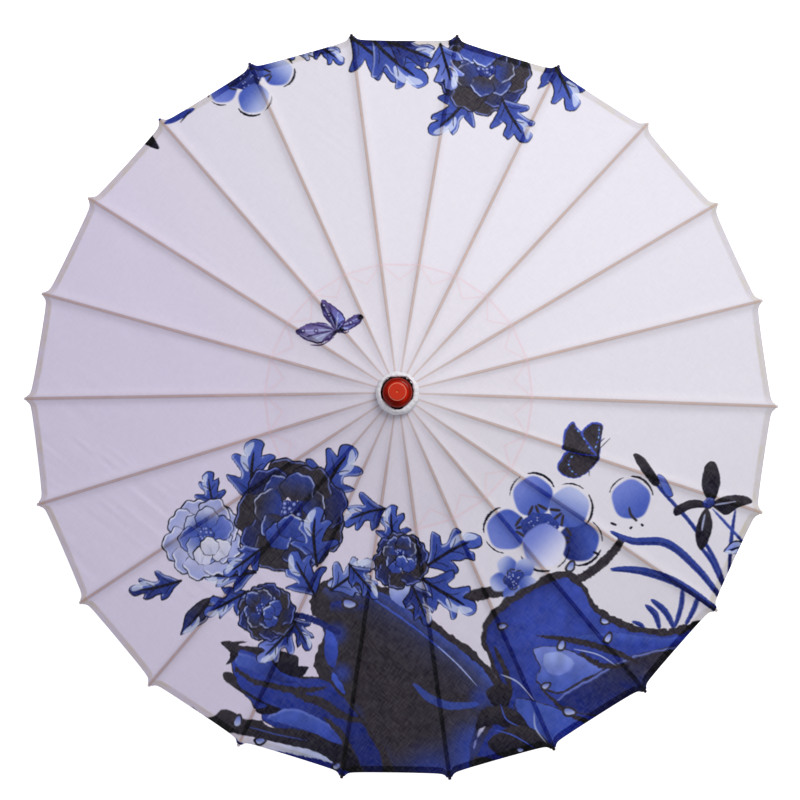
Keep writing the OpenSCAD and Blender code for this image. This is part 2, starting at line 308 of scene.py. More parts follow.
class Art:
    """The colours of the cloth's points, painted shape over shape in plan millimetres."""

    def __init__(self, x, y):
        self.x, self.y = x.astype(np.float32), y.astype(np.float32)
        # Painted shade: the plain cloth goes darker and bluer towards the lower left.
        side = smooth(-self.x - 0.6 * self.y, -70, 240)[:, None]
        self.rgb = (CLOTH + (CLOTH_SHADED_LEFT - CLOTH) * side).astype(np.float32)
        self.soft = 0.55 * CELL

    def near(self, low, high, more):
        """The points inside a box with a margin."""
        return np.flatnonzero((self.x > low[0] - more) & (self.x < high[0] + more)
                              & (self.y > low[1] - more) & (self.y < high[1] + more))

    def lay(self, at, mask, colour):
        """Colours the points at, as far as the mask says."""
        self.rgb[at] += (colour - self.rgb[at]) * mask[:, None]

    def distance(self, at, line, closed=True):
        """Signed distance (inside is positive), the outward direction, and how far along."""
        x, y = self.x[at], self.y[at]
        a = line if closed else line[:-1]
        b = np.roll(line, -1, 0) if closed else line[1:]
        best = np.full(len(x), 1e9)
        nx, ny, along = np.zeros(len(x)), np.zeros(len(x)), np.zeros(len(x))
        inside = np.zeros(len(x), bool)
        for k in range(len(a)):
            ex, ey = b[k] - a[k]
            wx, wy = x - a[k, 0], y - a[k, 1]
            t = np.clip((wx * ex + wy * ey) / max(ex * ex + ey * ey, 1e-9), 0, 1)
            dx, dy = wx - ex * t, wy - ey * t
            d = dx * dx + dy * dy
            m = d < best
            best[m], nx[m], ny[m], along[m] = d[m], dx[m], dy[m], k + t[m]
            if closed:
                cross = (a[k, 1] > y) != (b[k, 1] > y)
                inside ^= cross & (wx < ex * wy / (ey if abs(ey) > 1e-9 else 1e-9))
        d = np.sqrt(best)
        sign = np.where(inside, -1, 1) / np.maximum(d, 1e-6)
        return np.where(inside, d, -d), nx * sign, ny * sign, along / len(a)

    def shape(self, line, fill, deep=None, toward=(0, -1), rim=None, rim_at=(-0.4, 0.9), rim_w=1.5,
            rim_in=1.5, ink=INK, ink_w=1.1, heavy=(0.6, -0.8), rough=0.25, wash=0.05, glow=None,
            grain=0.4):
        """A filled shape: graded from fill to deep, a pale rim on one side, an inked edge."""
        low, high = line.min(0), line.max(0)
        at = self.near(low, high, 3)
        if not len(at):
            return
        x, y = self.x[at], self.y[at]
        d, nx, ny, _ = self.distance(at, line)
        d = d + rough * (noise(x * grain, y * grain, 11) + 0.25 * noise(x * 0.6, y * 0.6, 12))
        body = smooth(d, -self.soft, self.soft)
        tone = np.tile(np.asarray(fill, float), (len(at), 1))
        if deep is not None:
            g = np.array(toward, float) / np.hypot(*toward)
            s = (x - (low[0] + high[0]) / 2) * g[0] + (y - (low[1] + high[1]) / 2) * g[1]
            reach = abs(g[0]) * (high[0] - low[0]) / 2 + abs(g[1]) * (high[1] - low[1]) / 2
            k = smooth(s / reach, -0.9, 0.9)[:, None]
            tone = tone * (1 - k) + np.asarray(deep) * k
        if glow is not None:
            colour, depth, side = glow
            k = np.exp(-np.maximum(d, 0) / depth) * np.clip(0.15 + nx * side[0] + ny * side[1], 0,
                1)
            tone = tone * (1 - k[:, None]) + np.asarray(colour) * k[:, None]
        tone = tone * (1 + wash * noise(x * 0.12, y * 0.12, 13)[:, None])
        self.lay(at, body, tone)
        if rim is not None:
            facing = np.clip(nx * rim_at[0] + ny * rim_at[1], 0, 1) ** 1.2
            k = np.exp(-(((d - rim_in) / rim_w) ** 2)) * facing * body * 0.92
            self.lay(at, k, np.asarray(rim))
        if ink is not None:
            w = ink_w * (0.62 + 0.38 * (nx * heavy[0] + ny * heavy[1])
                         + 0.25 * noise(x * 0.25, y * 0.25, 17)) / 2
            self.lay(at, smooth(w + self.soft - np.abs(d), 0, 2 * self.soft)
                * np.clip(w * 4, 0, 1), ink)

    def stroke(self, points, width, colour, taper=(0.25, 0.05), strength=1.0, rough=0.1, steps=6):
        """A brush line, width wide in the middle, its two ends narrowed to the taper shares."""
        line = curve(points, False, steps)
        at = self.near(line.min(0), line.max(0), width + 2)
        if not len(at):
            return
        d, _, _, along = self.distance(at, line, False)
        swell = np.sin(np.pi * np.clip(along, 0, 1)) ** 0.6
        ends = taper[0] * (1 - along) + taper[1] * along
        w = width / 2 * (ends + (1 - ends) * swell)
        w = w + rough * noise(self.x[at] * 0.5, self.y[at] * 0.5, 19)
        self.lay(at, smooth(w + d, -self.soft, self.soft) * strength, np.asarray(colour))

    def strokes(self, rows):
        """Brush lines in turn, a row of stroke's arguments for each."""
        for row in rows:
            self.stroke(*row)

    def disc(self, cx, cy, r, colour, blur=0.6, strength=1.0):
        """A soft-edged dot."""
        at = self.near((cx - r, cy - r), (cx + r, cy + r), 2 * blur + 1)
        if len(at):
            d = r - np.hypot(self.x[at] - cx, self.y[at] - cy)
            blur = max(blur, self.soft)
            self.lay(at, smooth(d, -blur, blur) * strength, np.asarray(colour))


def polar(x, y, r, angle):
    """The point r away from x, y in the direction of the angle, in degrees."""
    return x + r * cos(radians(angle)), y + r * sin(radians(angle))


def round_line(cx, cy, r, angle=0.0, squash=1.0, waves=(), flat=0.0):
    """A closed line round a centre, with waves of (count, share, phase), angle in degrees."""
    th = np.linspace(0, 2 * np.pi, 44, endpoint=False)
    rr = np.ones_like(th)
    for count, share, phase in waves:
        rr = rr + share * np.sin(count * th + phase)
    rr = rr * (1 - flat * smooth(-np.cos(th), 0.2, 1))
    x, y = turned(r * rr * np.cos(th), r * rr * squash * np.sin(th), radians(angle))
    return np.stack([cx + x, cy + y], 1)


# Half outlines of leaves: share of the length, and of the width at that place
LOBED = [(0.04, 0.05), (0.16, 0.20), (0.27, 0.40), (0.36, 0.50), (0.43, 0.47), (0.42, 0.33),
         (0.40, 0.22), (0.50, 0.23), (0.62, 0.33), (0.71, 0.38), (0.76, 0.31), (0.73, 0.20),
         (0.72, 0.14), (0.82, 0.17), (0.92, 0.16)]
PLAIN = [(0.05, 0.04), (0.2, 0.2), (0.42, 0.34), (0.62, 0.30), (0.80, 0.18), (0.93, 0.06)]


def leaf(art, x0, y0, x1, y1, width, bend, seed, shine=1, tone=(BLUE, MID), lobes=LOBED):
    """A leaf from its stalk to its tip, with veins, a pale patch on one side and an inked edge."""
    rng = np.random.default_rng(seed + 100)
    dx, dy = x1 - x0, y1 - y0
    length = hypot(dx, dy)
    ux, uy = dx / length, dy / length
    def at(s, w):
        w = w * width * length + bend * length * 4 * s * (1 - s)
        return x0 + ux * s * length - uy * w, y0 + uy * s * length + ux * w
    jig = rng.uniform(0.85, 1.15, len(lobes))
    jag = rng.uniform(0.80, 1.15, len(lobes))
    side_a = [at(s, w * j) for (s, w), j in zip(lobes, jig)]
    side_b = [at(s * 1.03, -w * j) for (s, w), j in zip(lobes, jag)]
    line = curve([at(0, 0)] + side_a + [at(1, 0.0)] + side_b[::-1], steps=4)
    art.shape(line, tone[0], tone[1], toward=(ux, uy), ink_w=1.35, heavy=(uy * shine, -ux * shine),
              rim=PALE, rim_at=(-uy * shine, ux * shine), rim_w=1.1, rim_in=1.4)
    if shine:
        k = 0.16 * shine
        art.stroke([at(0.50, k * 0.5), at(0.66, k), at(0.80, k * 0.75), at(0.93, k * 0.2)],
                   0.13 * length, GLINT, taper=(0.1, 0.3), strength=0.75)
        art.stroke([at(0.55, k * 0.3), at(0.74, k * 0.5)], 0.05 * length, MID, strength=0.8)
    art.stroke([at(0, 0), at(0.3, 0), at(0.55, 0.01), at(0.80, 0.0)], 0.045 * length + 0.5, INK,
               taper=(0.9, 0.1))
    if lobes is LOBED:
        for s, w in ((0.14, 0.28), (0.14, -0.28), (0.45, 0.2), (0.45, -0.2)):
            art.stroke([at(s, 0), at(s + 0.12, w * 0.5), at(s + 0.19, w)], 0.9, INK,
                       taper=(0.8, 0.1), strength=0.9)


def leaves(art, rows):
    """Leaves in turn, a row of leaf's arguments for each."""
    for row in rows:
        leaf(art, *row)


def petal(art, cx, cy, r, angle, fill, deep, seed=0, squash=0.8, rim=PALE, ink_w=1.15,
        ruffle=0.05):
    """A ruffled petal, its free edge away from the flower's middle at the given angle."""
    rng = np.random.default_rng(seed + 500)
    waves = [(5, ruffle, rng.uniform(0, 6)), (9, ruffle * 0.7, rng.uniform(0, 6)),
             (2, 0.05, rng.uniform(0, 6))]
    line = round_line(cx, cy, r, angle, squash, waves, 0.25)
    a = radians(angle)
    art.shape(line, fill, deep, toward=(-cos(a), -sin(a)), rim=rim,
              rim_at=(cos(a - 0.5), sin(a - 0.5)), rim_w=0.9, rim_in=1.5, ink_w=ink_w,
              heavy=(cos(a + 0.8), sin(a + 0.8)))
    for k in (-0.45, 0.0, 0.45):
        b = a + k
        art.stroke([(cx - r * 0.55 * cos(a), cy - r * 0.55 * sin(a)),
                    (cx + r * 0.45 * cos(b), cy + r * 0.45 * sin(b) * squash)],
                   0.7, np.asarray(deep) * 0.8, taper=(0.9, 0.1), strength=0.45)


def peony(art, cx, cy, r, facing=80, dark=True, seed=1, heart=(0.0, 0.15)):
    """A full flower: two rings of ruffled petals, broad front petals and a beaded heart."""
    rng = np.random.default_rng(seed)
    back = (CHARCOAL, DEEP) if dark else (np.array([0.62, 0.66, 0.88]),
        np.array([0.80, 0.80, 0.93]))
    middle = (BLUE, CHARCOAL) if dark else (np.array([0.80, 0.82, 0.94]), PERI)
    front = (MID, BLUE) if dark else (np.array([0.90, 0.89, 0.95]), np.array([0.80, 0.81, 0.93]))
    edge = PERI if dark else np.array([0.95, 0.95, 1.0])
    for k in range(9):
        a = facing + 40 * k + rng.uniform(-7, 7)
        d = r * rng.uniform(0.58, 0.66)
        petal(art, *polar(cx, cy, d, a), r * rng.uniform(0.34, 0.40), a,
            back[k % 2] if dark else back[0], back[0 if dark else 1], seed * 31 + k, 1.1, edge,
            1.5, 0.07)
    hx, hy = cx + heart[0] * r, cy + heart[1] * r
    for k in range(7):
        a = facing + 26 + 51.4 * k + rng.uniform(-8, 8)
        d = r * rng.uniform(0.34, 0.42)
        petal(art, *polar(hx, hy, d, a),
              r * rng.uniform(0.26, 0.31), a, middle[k % 2], middle[1 - k % 2] if dark else MID,
              seed * 37 + k, 1.0, PALE, 1.1)
    art.shape(round_line(hx, hy, r * 0.2, 0, 0.9, [(7, 0.08, seed)]), BLUE if dark else MID,
        DEEP if dark else BLUE, ink_w=0.9)
    for k in range(17):
        a, d = rng.uniform(0, 2 * pi), r * 0.17 * sqrt(rng.uniform(0, 1))
        x, y = hx + d * cos(a), hy + d * sin(a)
        art.disc(x, y, 0.055 * r, DEEP if dark else BLUE)
        art.disc(x - 0.3, y + 0.3, 0.035 * r, PERI, strength=0.8)
        art.disc(x - 0.5, y + 0.5, 0.014 * r + 0.2, PALE, strength=0.8)
    for k, (a, d, s) in enumerate(((facing + 205, 0.50, 0.29), (facing + 150, 0.52, 0.26),
                                   (facing + 178, 0.30, 0.25))):
        petal(art, *polar(hx, hy, d * r, a),
              r * s, a + 180, front[0], front[1], seed * 41 + k, 0.95,
              FRONT_RIM, 1.2)


def blossom_petal(art, cx, cy, r, angle, deep=MID, light=PALE, arc=1.0, streaks=True):
    """A round petal: a soft wash inside a pale margin, with brush arcs along its outer edge."""
    a = radians(angle)
    at = art.near((cx - r, cy - r), (cx + r, cy + r), 2)
    if len(at):
        x, y = art.x[at] - cx, art.y[at] - cy
        out = (x * cos(a) + y * sin(a)) / r
        side = (-x * sin(a) + y * cos(a)) / r
        d = r * (1 + 0.03 * np.sin(5 * np.arctan2(y, x))) - np.hypot(x, y)
        tone = np.asarray(light) + (np.asarray(deep) - np.asarray(light)) * smooth(
            -out * 0.75 - side * 0.5, -0.9, 0.8)[:, None]
        art.lay(at, smooth(d, -1.2, 1.6), tone)
    if streaks:
        for k in (-26, 6, 34):
            b = a + radians(180 + k)
            c = a + radians(180 + k * 0.5)
            art.stroke([(cx + r * 0.92 * cos(b), cy + r * 0.92 * sin(b)),
                        (cx + r * 0.45 * cos(c), cy + r * 0.45 * sin(c))],
                       0.15 * r, CHARCOAL, taper=(0.9, 0.2))
    if arc:
        for start, end, w in ((-80, 0, 2.6), (20, 75, 1.4)):
            pts = [(cx + r * 1.17 * cos(a + radians(k)), cy + r * 1.17 * sin(a + radians(k)))
                   for k in np.linspace(start, end, 6)]
            art.stroke(pts, w * arc, INK, taper=(0.05, 0.3), rough=0.35)


ROUND_BLOSSOM = tuple((90 + 72 * k, 0.6, 0.38) for k in (0, 1, 4, 2, 3))


def plum(art, cx, cy, r, turn=0, seed=3, arc=1.0, petals=ROUND_BLOSSOM, tones=((MID, PALE),) * 5):
    """A five-petalled blossom. petals holds each one's direction, and its place and size as
    shares of r."""
    rng = np.random.default_rng(seed)
    last = len(petals) - 1
    for k, (angle, away, share) in enumerate(petals):
        if k == last:
            eye = round_line(cx, cy, r * 0.40, turn, 0.72, [(7, 0.05, 0.4)])
            art.shape(eye, BLUE, DEEP, ink=None, rough=0.6)
            for _ in range(12):
                b, d = rng.uniform(0, 2 * pi), r * 0.33 * sqrt(rng.uniform(0, 1))
                art.disc(cx + d * cos(b), cy + d * 0.7 * sin(b), 0.8, PALE, strength=0.8)
        a = radians(turn + angle)
        blossom_petal(art, cx + away * r * cos(a), cy + away * r * sin(a), r * share, turn + angle,
                      tones[k][0], tones[k][1], arc, k != last)


def moss_dots(art, dots):
    """Small pale ovals with inked edges, as on garden rocks."""
    for x, y, r, angle in dots:
        art.shape(round_line(x, y, r + 1.2, angle, 0.7, [(3, 0.08, 1.0)]), CHARCOAL, CHARCOAL,
            ink=None, rough=0.4)
        art.shape(round_line(x, y, r * 0.8, angle, 0.6, [(3, 0.08, 1.0)]), PERI, PALE, ink=None,
            rough=0.2)


def paint_top(art):
    """The flowers that hang in from the far rim."""
    plum(art, -174, 355, 44, 0, petals=((41, 0.50, 0.31), (177, 0.46, 0.31), (-154, 0.62, 0.35),
        (12, 0.82, 0.37), (-67, 0.58, 0.39)), tones=((BLUE, MID), (DEEP, BLUE), (MID, PERI),
        (MID, PALE), (MID, PALE)))
    leaves(art, ((-140, 392, -92, 384, 0.5, 0, 1, 1, (MID, PALE)),
        (-104, 402, -66, 372, 0.6, 0, 2), (-60, 404, -4, 352, 0.75, 0.03, 3),
        (-36, 402, 26, 348, 0.7, -0.04, 4, -1), (-20, 400, 44, 372, 0.6, 0, 5, 1, (DEEP, BLUE)),
        (74, 338, 30, 288, 0.75, 0.04, 6), (160, 384, 188, 322, 0.8, 0.02, 7)))
    peony(art, 88, 364, 52, -80, seed=11, heart=(0.05, 0.05))
    leaves(art, ((108, 332, 136, 282, 0.85, -0.03, 8), (40, 396, 54, 340, 0.7, 0, 9, 1,
        (MID, PERI))))
    art.shape(curve("-296,296 -284,300 -272,286 -268,276 -280,280 -292,288"), CHARCOAL, INK,
        ink=None)
    art.strokes((("-262,305 -247,313 -230,322", 8, MID, (0.25, 0.05), 0.9),
        ("-245,306 -235,319", 1.6, INK, (0.1, 0.8))))


def paint_small_butterflies(art):
    """A purple one with its wings half closed, and a dark one seen from the side."""
    net, violet = rgb(60, 44, 98), rgb(104, 88, 156)
    left = points_of("-66,67 -79,75 -94,75 -108,67 -100,60 -92,56 -82,54 -72,60")
    upper = points_of("-65,68 -73,76 -80,86 -82,100 -75,97 -64,89 -57,79 -61,69")
    right = points_of("-64,68 -56,77 -45,84 -38,82 -41,76 -51,69 -61,65")
    for wing, deep in ((left, PALE), (right, PERI), (upper, PERI)):
        art.shape(curve(wing), violet * 0.85, deep, toward=(0.3, -1), ink=net, ink_w=2.0, wash=0.2,
            rough=0.5)
        middle = np.mean(wing[2:5], 0)
        for k in range(1, len(wing) - 1):
            x, y = wing[0] * 0.12 + wing[k] * 0.88
            art.stroke([wing[0], ((wing[0][0] + x) / 2, (wing[0][1] + y) / 2 + 1), (x, y)],
                1.5 if k % 2 else 2.4, PALE if k % 2 else net, taper=(0.3, 0.4), strength=0.8,
                rough=0.5)
        for x, y in (middle, wing[0] * 0.4 + middle * 0.6):
            art.disc(x, y, 2.4, net, strength=0.9)
            art.disc(x, y, 1.2, PALE, strength=0.9)
    art.disc(-40, 81, 2.6, INK)
    art.stroke("-70,61 -65,66 -58,68", 3.0, INK, taper=(0.4, 0.6))
    for line in ("-66,64 -72,58 -76,57", "-63,66 -56,64 -52,66", "-68,60 -80,52 -92,52"):
        art.stroke(line, 1.3, net, taper=(0.5, 0.3))
    edge, spot = rgb(66, 84, 190), rgb(120, 168, 240)
    for wing in ("212,-60 208,-68 200,-76 190,-82 180,-82 172,-78 168,-72 172,-64 178,-56 194,-54",
            "176,-54 174,-46 176,-34 184,-24 188,-30 194,-36 210,-58",
            "212,-60 202,-48 194,-36 202,-26 210,-24 216,-28 214,-42"):
        art.shape(curve(wing), CHARCOAL, CHARCOAL * 1.1, ink=edge, ink_w=2.2, heavy=(-0.6, 0.5),
            rough=0.5, wash=0.12)
    for path, n in (("186,-30 194,-38 200,-48 206,-56", 7), ("212,-28 212,-38 208,-52", 6),
            ("186,-56 180,-66 182,-74 190,-80", 7)):
        dashes = curve(path, False, 12)
        for k in range(n):
            at = dashes[k * len(dashes) // n:][:max(3, len(dashes) // n - 3)]
            art.stroke(at, 1.6, spot if k % 2 else edge, taper=(0.5, 0.5), steps=2)
    art.stroke("212,-52 210,-62 206,-68", 2.6, INK, taper=(0.6, 0.3))
    for line in ("212,-52 218,-46 224,-40", "212,-52 214,-44 218,-40", "202,-72 202,-80"):
        art.stroke(line, 0.9, INK, taper=(0.5, 0.5), strength=0.8)


def paint_plum_branch(art):
    """The blossoms and their branch on the right."""
    art.strokes((("240,-145 226,-164 208,-180 182,-196", 10, CHARCOAL, (0.6, 0.9), 1, 0.8),
        ("22,-206 60,-212 98,-204 126,-204", 13, CHARCOAL, (0.9, 0.3), 1, 0.9)))
    plum(art, 150, -134, 50, 0, petals=((104, 0.64, 0.42), (187, 0.70, 0.42), (-20, 0.90, 0.43),
        (33, 0.74, 0.43), (-76, 0.42, 0.46)), tones=((MID, PERI), (MID, PERI), (DEEP, MID),
        (MID, PALE), (PERI, np.array([0.88, 0.88, 0.97]))))
    plum(art, 124, -190, 27, 30, arc=0.0)
    blossom_petal(art, 248, -104, 21, 90, MID, PERI, streaks=False)
    art.stroke("246,-112 248,-120 254,-126", 3, CHARCOAL, taper=(0.2, 0.9))
    for x, y, a in ((226, -129, 0.3), (262, -132, 1.9), (247, -135, 1.2), (208, -160, 0.2)):
        art.stroke([(x, y), (x + 6 * cos(a), y + 6 * sin(a) - 4)], 2.6, INK, taper=(0.2, 0.8))


def blade(art, points, width, tone=BLUE):
    """A long leaf: a brush line with a darker line along its lower side."""
    art.stroke(points, width, tone, taper=(0.05, 0.55), rough=0.3)
    art.stroke([(x + 0.3, y - width * 0.22) for x, y in points_of(points)], width * 0.35, DEEP,
        taper=(0.05, 0.7), strength=0.8)


def paint_orchid(art):
    """Long leaves and a dark-petalled flower at the right-hand rim."""
    blade(art, "226,-138 250,-148 288,-150 322,-176 348,-206", 9)
    blade(art, "227,-178 262,-180 304,-194 352,-226", 9)
    blade(art, "252,-58 280,-92 316,-130 344,-170 356,-204", 4.5)
    blade(art, "322,-150 338,-168 352,-196", 5)
    blade(art, "364,-112 360,-146 358,-196", 4.5)
    blade(art, "338,-112 362,-136 386,-160", 3.5, MID)
    art.shape(curve("250,-56 262,-60 278,-84 272,-88 258,-72"), CHARCOAL, INK, ink_w=0.8)
    art.shape(curve("276,-78 284,-80 294,-98 286,-98"), PERI, MID, ink_w=0.9)
    for p in ("334,-104 326,-88 330,-66 340,-62 346,-80 342,-98",
            "338,-106 354,-98 374,-98 382,-104 366,-110 354,-118 342,-112",
            "330,-110 314,-112 298,-120 296,-112 312,-104 326,-104",
            "332,-112 338,-128 334,-146 326,-156 320,-142 324,-122"):
        art.shape(curve(p), CHARCOAL, INK, ink_w=1.4, wash=0.1)
    for p in ("340,-108 352,-106 364,-104", "330,-118 328,-128 327,-136"):
        art.stroke(p, 2.2, PALE, strength=0.85)
    art.shape(round_line(334, -106, 7, 30, 0.8, [(6, 0.05, 0)]), BLUE, DEEP, rim=PERI, ink_w=1.2)
    for x, y in ((332, -104), (336, -108), (334, -102), (331, -108)):
        art.disc(x, y, 0.7, INK)
    for base, tip, w in (((282, -240), (266, -216), 7), ((298, -240), (272, -210), 7),
            ((300, -238), (306, -196), 6), ((312, -236), (324, -202), 6),
            ((266, -246), (252, -234), 5)):
        mid = ((base[0] + tip[0]) / 2 + 3, (base[1] + tip[1]) / 2 + 2)
        blade(art, [tip, mid, base], w)
    leaf(art, 380, -150, 352, -158, 0.7, 0, 31, 1, (PALE, PERI), PLAIN)


def rock(art, outline, fill, deep, toward=(0, -1), glow=None, edge=8, heavy=(-0.3, 0.9)):
    """A rock: a washed fill inside a thick brushed outline."""
    art.shape(curve(outline, steps=4), fill, deep, toward=toward, ink=CHARCOAL, ink_w=edge,
        rough=1.3, heavy=heavy, glow=glow, grain=0.13, wash=0.08)


def facet(art, outline, fill, deep, toward=(0, -1), edge=0, rim=None, rim_at=(-0.5, 0.85)):
    """A plane of a rock, washed from one tone to another."""
    art.shape(curve(outline, steps=3), fill, deep, toward=toward, ink=CHARCOAL if edge else None,
        ink_w=edge, rough=0.8, rim=rim, rim_at=rim_at, grain=0.2, wash=0.08)


def paint_rocks(art):
    """Garden rocks along the near rim, washed from charcoal to blue, with mossy dots."""
    # right rock
    rock(art, "92,-252 104,-226 130,-206 158,-190 180,-184 196,-196 214,-222 250,-240 292,-246 "
        "340,-234 420,-240 300,-420 80,-430 84,-380 112,-318 104,-284", rgb(60, 78, 172),
        rgb(48, 62, 152), glow=(DEEP, 12, (-0.9, 0.2)))
    facet(art, "190,-252 232,-246 286,-252 340,-246 300,-262 250,-262", MID, STRONG)
    facet(art, "146,-264 176,-262 206,-276 222,-286 196,-300 172,-312 150,-298 154,-284", PERI,
        MID, edge=2.4)
    facet(art, "158,-270 176,-268 190,-280 176,-292 160,-288", np.array([0.60, 0.67, 0.92]), PERI)
    facet(art, "172,-320 214,-292 256,-270 330,-258 300,-288 262,-318 214,-336", CHARCOAL,
        DEEP * 1.1, toward=(-0.3, -1), edge=1.6, rim=PERI)
    facet(art, "240,-300 276,-284 310,-276 286,-298 262,-310", CHARCOAL * 1.25, DEEP)
    facet(art, "128,-318 166,-326 210,-342 250,-342 286,-322 300,-336 214,-384 176,-388 140,-352",
        MID, STRONG, toward=(0.3, -1), edge=2.5)
    art.strokes((("150,-250 196,-256 236,-268 262,-280", 7, CHARCOAL, (0.1, 0.1), 1, 1.0),
        ("196,-268 222,-282 250,-280", 6, CHARCOAL, (0.3, 0.1), 1, 1.2),
        ("156,-308 190,-336 236,-350 300,-344", 5, CHARCOAL, (0.3, 0.3), 1, 0.8),
        ("206,-344 214,-362 208,-392", 9, CHARCOAL, (0.2, 0.5), 1, 1.0),
        ("190,-264 216,-270 236,-282", 1.4, ICE, (0.25, 0.05), 0.8),
        ("104,-262 118,-292 122,-312", 6, CHARCOAL, (0.2, 0.4), 1, 0.9),
        ("112,-292 130,-300 148,-320", 1.8, ICE, (0.25, 0.05), 0.8)))
    # middle rock
    rock(art, "-82,-202 -58,-196 -20,-200 10,-218 42,-242 78,-268 104,-296 110,-322 88,-352 "
        "80,-386 84,-430 -40,-430 -62,-372 -66,-322 -86,-286 -76,-250 -90,-224", CHARCOAL,
        CHARCOAL * 1.06, glow=(BRIGHT, 13, (0.9, 0.8)), edge=7, heavy=(0.3, 0.9))
    for x, y, r, k in ((-40, -410, 60, 0.8), (40, -412, 58, 0.9), (78, -370, 34, 0.6),
            (-64, -250, 18, 0.8), (-58, -292, 16, 0.8), (-48, -338, 18, 0.7), (90, -318, 18, 0.7)):
        art.disc(x, y, r * 0.55, STRONG, blur=r * 0.45, strength=k)
    facet(art, "-74,-242 -62,-262 -66,-286 -76,-276", BRIGHT, STRONG)
    facet(art, "-68,-292 -54,-312 -58,-336 -66,-322", BRIGHT, STRONG)
    art.strokes((("-70,-352 -44,-376 -26,-412", 15, DEEP * 1.15, (0.2, 0.8), 1, 1.4),
        ("-56,-340 -22,-368 -2,-410", 12, CHARCOAL, (0.1, 0.8), 1, 1.2),
        ("-58,-204 -30,-210 2,-230 34,-254 62,-278 88,-306", 2.0, BRIGHT, (0.2, 0.1), 0.85, 0.5),
        ("44,-262 66,-282 86,-304", 1.4, ICE, (0.1, 0.1), 0.7),
        ("18,-302 36,-318 60,-326 88,-324", 9, rgb(60, 86, 190), (0.05, 0.3), 0.75, 0.5)))
    facet(art, "-70,-218 -52,-214 -30,-222 -46,-230 -66,-230", DEEP * 1.2, CHARCOAL)
    # the dark stones between the two
    for p in ("96,-310 112,-300 124,-312 116,-332 104,-326", "92,-330 112,-326 132,-334 146,-356 "
            "126,-352 104,-346 86,-352", "98,-366 124,-348 150,-352 172,-378 140,-386 112,-380",
            "84,-384 104,-384 136,-394 150,-412 88,-420"):
        facet(art, p, CHARCOAL, INK)
    art.strokes((("112,-324 118,-340 132,-348", 1.6, BRIGHT, (0.25, 0.05), 0.9),
        ("106,-352 126,-358 150,-372", 1.6, BRIGHT, (0.25, 0.05), 0.9),
        ("148,-332 150,-350 162,-366", 1.8, ICE, (0.25, 0.05), 0.7)))
    # left rocks
    rock(art, "-173,-266 -132,-278 -119,-281 -103,-297 -76,-299 -60,-313 -39,-337 -22,-369 "
        "-14,-385 -14,-402 -39,-400 -71,-384 -95,-366 -138,-349 -148,-335 -170,-308 -177,-288",
        STRONG, DEEP, toward=(0.5, -1), edge=3, heavy=(0.5, 0.8))
    facet(art, "-169,-272 -148,-278 -134,-284 -120,-297 -103,-303 -122,-303 -143,-296 -165,-288 "
        "-174,-281", MID, DEEP, toward=(0.6, -0.5), rim=PERI, rim_at=(-0.7, 0.6))
    facet(art, "-140,-343 -114,-331 -84,-341 -60,-357 -44,-383 -71,-368 -103,-353", MID, STRONG,
        rim=PERI)
    facet(art, "-189,-261 -159,-260 -170,-264 -143,-266 -108,-273 -104,-285 -93,-286 -104,-298 "
        "-124,-292 -134,-280 -155,-272 -167,-269 -174,-281 -183,-285 -178,-273", CHARCOAL, INK)
    facet(art, "-186,-294 -182,-305 -157,-320 -139,-329 -152,-334 -141,-339 -123,-333 -142,-325 "
        "-168,-309 -174,-295", CHARCOAL, INK)
    art.strokes((("-172,-290 -154,-302 -132,-307 -114,-311 -92,-311 -75,-308", 7, CHARCOAL,
        (0.5, 0.1), 1, 1.2), ("-114,-311 -96,-320 -78,-325 -60,-337 -36,-344", 10, CHARCOAL,
        (0.1, 0.4), 1, 1.2), ("-78,-340 -60,-357 -47,-380 -36,-404", 7, CHARCOAL, (0.1, 0.8), 1,
        1.0)))
    facet(art, "-174,-356 -133,-364 -90,-373 -66,-392 -103,-387 -133,-381 -163,-372",
        np.array([0.86, 0.84, 0.92]), PALE, toward=(0.6, -1))
    art.stroke("-186,-362 -160,-377 -122,-384 -84,-391 -50,-400", 9, STRONG, taper=(0.4, 0.9),
        rough=0.8)
    facet(art, "-222,-332 -204,-344 -188,-335 -176,-336 -165,-343 -145,-346 -137,-352 -98,-355 "
        "-71,-366 -49,-374 -36,-400 -58,-397 -84,-379 -122,-371 -168,-361 -190,-358 -208,-350",
        CHARCOAL, INK)
    art.stroke("-160,-352 -130,-360 -96,-366", 1.4, BRIGHT, strength=0.7)
    moss_dots(art, [(112, -240, 5, 10), (176, -260, 6, 70), (226, -252, 6, 60),
        (222, -234, 5, -20), (184, -176, 6, 60), (-50, -218, 8, -10), (186, -332, 7, -10),
        (134, -374, 4, 0), (-68, -196, 7, 40), (160, -304, 5, 30), (-171, -347, 7, 70),
        (-147, -368, 6, 10), (-64, -394, 5, 30), (230, -372, 5, 20)])
    art.disc(-40, -206, 2.5, PALE, 1)


